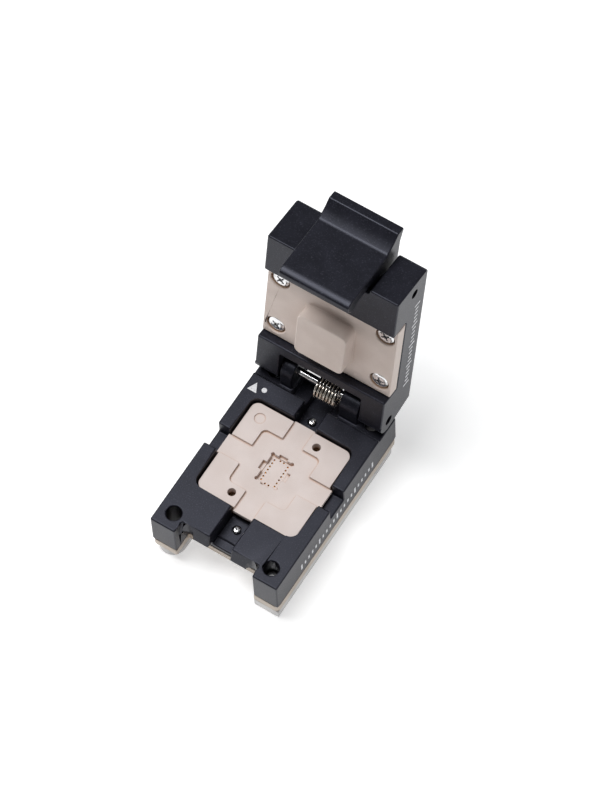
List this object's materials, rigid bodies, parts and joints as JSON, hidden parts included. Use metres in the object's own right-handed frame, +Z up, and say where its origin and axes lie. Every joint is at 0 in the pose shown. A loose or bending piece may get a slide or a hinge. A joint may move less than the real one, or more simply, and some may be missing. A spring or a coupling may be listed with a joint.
{
  "type": "clamshell ic test socket",
  "caption": "Small clamshell chip test and programming socket with a hinged lid, sprung latch, floating nest and spring contacts, lid open.",
  "frame": {"origin": "centre of the plan extent with the lid open, on the plane of the bottom cover", "axes": "+X along the lid hinge to the right, +Y from the latch end to the hinge end, +Z up"},
  "size_m": [0.018, 0.036, 0.0376],
  "materials": {
    "black_polymer": "fine speckled matt black",
    "cream_polymer": "smooth machined cream",
    "tan_polymer": "smooth machined tan",
    "milky_polymer": "milky translucent",
    "steel": "bright",
    "gold_contact": "bright gold plate"
  },
  "bodies": {
    "base": {"base_frame": "black_polymer", "pin_plate": "cream_polymer", "bottom_cover": "milky_polymer", "channel_screw_front": "steel", "channel_screw_back": "steel", "nest_screw_front": "steel", "nest_screw_back": "steel", "clamp_screw_front": "steel", "clamp_screw_back": "steel", "hinge_pin": "steel", "torsion_spring": "steel", "nest_spring_left": "steel", "nest_spring_right": "steel", "contact_barrel_01": "gold_contact", "contact_barrel_02": "gold_contact", "contact_barrel_03": "gold_contact", "contact_barrel_04": "gold_contact", "contact_barrel_05": "gold_contact", "contact_barrel_06": "gold_contact", "contact_barrel_07": "gold_contact", "contact_barrel_08": "gold_contact", "contact_barrel_09": "gold_contact", "contact_barrel_10": "gold_contact", "contact_barrel_11": "gold_contact", "contact_barrel_12": "gold_contact", "contact_barrel_13": "gold_contact", "contact_barrel_14": "gold_contact", "contact_barrel_15": "gold_contact", "contact_barrel_16": "gold_contact", "contact_barrel_17": "gold_contact", "contact_barrel_18": "gold_contact"},
    "nest": {"floating_nest": "cream_polymer"},
    "contacts": {"contact_plunger_01": "gold_contact", "contact_plunger_02": "gold_contact", "contact_plunger_03": "gold_contact", "contact_plunger_04": "gold_contact", "contact_plunger_05": "gold_contact", "contact_plunger_06": "gold_contact", "contact_plunger_07": "gold_contact", "contact_plunger_08": "gold_contact", "contact_plunger_09": "gold_contact", "contact_plunger_10": "gold_contact", "contact_plunger_11": "gold_contact", "contact_plunger_12": "gold_contact", "contact_plunger_13": "gold_contact", "contact_plunger_14": "gold_contact", "contact_plunger_15": "gold_contact", "contact_plunger_16": "gold_contact", "contact_plunger_17": "gold_contact", "contact_plunger_18": "gold_contact"},
    "lid": {"lid_frame": "black_polymer", "pressure_plate": "tan_polymer", "plate_screw_front_left": "steel", "plate_screw_front_right": "steel", "plate_screw_back_left": "steel", "plate_screw_back_right": "steel", "latch_pin": "steel", "latch_spring_left": "steel", "latch_spring_right": "steel"},
    "latch_lever": {"latch": "black_polymer"}
  },
  "joints": [
    {"name": "lid_hinge", "type": "hinge", "parent": "base", "child": "lid", "pos_m": [0, 0.00732, 0.00995], "axis": [1, 0, 0], "range_deg": [0, 100], "stiffness_Nm_per_rad": 0.0008, "springref_deg": -28.65, "deforming": ["torsion_spring"]},
    {"name": "latch_pivot", "type": "hinge", "parent": "lid", "child": "latch_lever", "pos_m": [0, 0.0135, 0.03232], "axis": [1, 0, 0], "range_deg": [-12, 6], "stiffness_Nm_per_rad": 0.004, "deforming": ["latch_spring_left", "latch_spring_right"]},
    {"name": "nest_float", "type": "slide", "parent": "base", "child": "nest", "axis": [0, 0, 1], "range_m": [-0.0004, 0], "stiffness_N_per_m": 150, "springref_m": 0.0004, "deforming": ["nest_spring_left", "nest_spring_right"]},
    {"name": "contact_stroke", "type": "slide", "parent": "base", "child": "contacts", "axis": [0, 0, 1], "range_m": [-0.00025, 0], "stiffness_N_per_m": 60, "springref_m": 0.0003}
  ]
}
